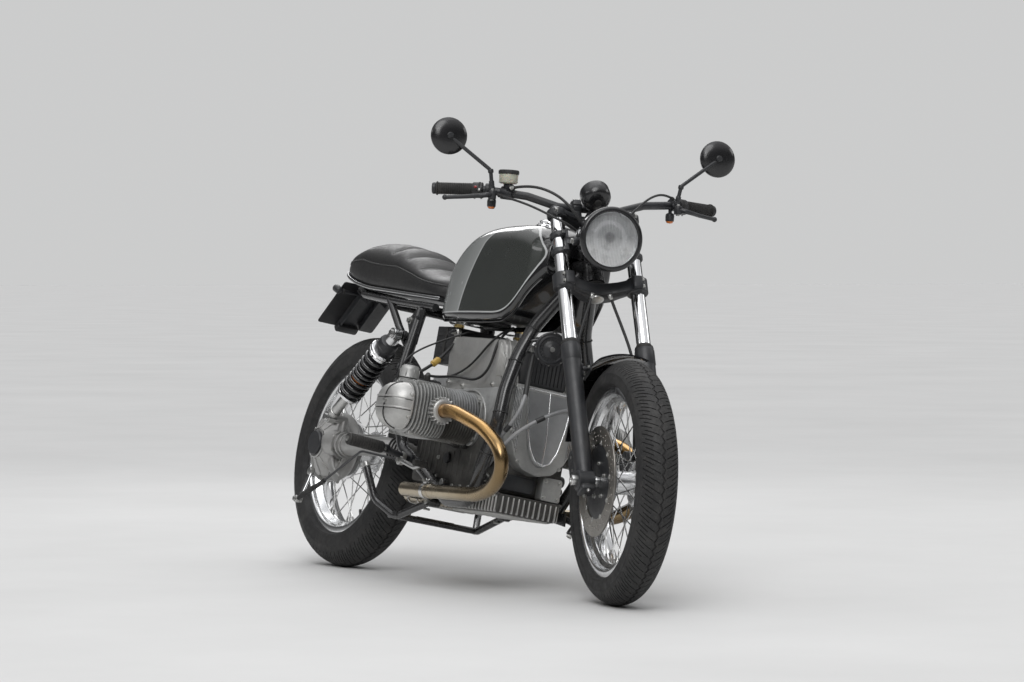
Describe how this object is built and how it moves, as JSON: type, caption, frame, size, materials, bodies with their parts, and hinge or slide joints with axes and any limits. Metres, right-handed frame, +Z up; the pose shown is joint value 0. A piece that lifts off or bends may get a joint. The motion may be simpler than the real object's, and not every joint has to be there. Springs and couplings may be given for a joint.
{
  "type": "cafe racer motorcycle",
  "caption": "Roadster motorcycle in cafe racer trim with a flat-twin engine, wire wheels, a bare round headlight, a ribbed single seat and a side stand that it leans on.",
  "frame": {"origin": "middle of the whole bounding box at floor level, with the motorcycle leaning on its side stand", "axes": "+X forward along the wheelbase, +Y to the left, +Z up; the machine leans 11.7 degrees to the left and its steering is turned 15.3 degrees to the right"},
  "size_m": [2.0911, 0.9412, 1.2704],
  "materials": {
    "tyre": "moulded rubber with grooved tread",
    "rim": "polished",
    "spokes": "stainless spokes and a cast hub",
    "disc": "ground steel",
    "black_alloy": "satin black paint",
    "chrome": "hard chrome",
    "black_plastic": "moulded",
    "rubber": "ribbed",
    "lens": "fluted glass",
    "frame_black": "gloss black paint",
    "cast_grey": "grey cast with a light blast texture",
    "tank_paint": "satin dark grey and gloss black with a silver pinstripe",
    "steel_pipe": "heat tinted",
    "leather": "ribbed black cover",
    "plate": "blank",
    "steel": "zinc plated"
  },
  "bodies": {
    "chassis": {"frame_backbone": "frame_black", "frame_cradle_right": "frame_black", "frame_cradle_left": "frame_black", "rear_subframe": "frame_black", "engine_block": "cast_grey", "cylinders": "cast_grey", "rocker_covers": "cast_grey", "carburettors": "cast_grey", "exhaust_header_right": "steel_pipe", "exhaust_header_left": "steel_pipe", "silencer": "steel_pipe", "swingarm": "cast_grey", "final_drive": "cast_grey", "rear_shocks": "black_alloy", "fuel_tank": "tank_paint", "fuel_cap": "chrome", "seat_base": "black_plastic", "seat_cushion": "leather", "number_plate": "plate", "battery_box": "black_plastic", "foot_controls": "steel", "horn": "black_plastic"},
    "steering": {"fork_sliders": "black_alloy", "fork_stanchions": "chrome", "fork_yokes": "black_alloy", "handlebar": "black_alloy", "handlebar_grips": "rubber", "hand_controls": "black_alloy", "brake_fluid_reservoir": "black_plastic", "mirrors": "black_plastic", "speedometer": "black_plastic", "headlight_shell": "black_alloy", "headlight_lens": "lens", "front_mudguard": "black_alloy", "brake_calipers": "black_alloy", "control_cables": "rubber"},
    "front_wheel": {"front_tyre": "tyre", "front_rim": "rim", "front_hub_and_spokes": "spokes", "front_brake_discs": "disc"},
    "rear_wheel": {"rear_tyre": "tyre", "rear_rim": "rim", "rear_hub_and_spokes": "spokes"},
    "side_stand": {"side_stand": "frame_black"},
    "centre_stand": {"centre_stand": "frame_black"}
  },
  "joints": [
    {"name": "steering", "type": "hinge", "parent": "chassis", "child": "steering", "pos_m": [0.70109, -0.12518, 0.29391], "axis": [-0.4713, 0.1783, 0.8637], "range_deg": [-18.67, 49.33]},
    {"name": "front_wheel", "type": "hinge", "parent": "steering", "child": "front_wheel", "pos_m": [0.73715, -0.13225, 0.31505], "axis": [0.2331, 0.9697, -0.073], "continuous": true},
    {"name": "rear_wheel", "type": "hinge", "parent": "chassis", "child": "rear_wheel", "pos_m": [-0.70856, -0.11743, 0.33141], "axis": [0, 0.9793, -0.2022], "continuous": true},
    {"name": "side_stand", "type": "hinge", "parent": "chassis", "child": "side_stand", "pos_m": [0.27676, -0.00067, 0.15513], "axis": [-0.0454, 0.6654, 0.7451], "range_deg": [0, 89]},
    {"name": "centre_stand", "type": "hinge", "parent": "chassis", "child": "centre_stand", "pos_m": [-0.03628, -0.14386, 0.20342], "axis": [0, -0.9793, 0.2022], "range_deg": [0, 116], "stiffness_Nm_per_rad": 3, "springref_deg": -171.89}
  ]
}
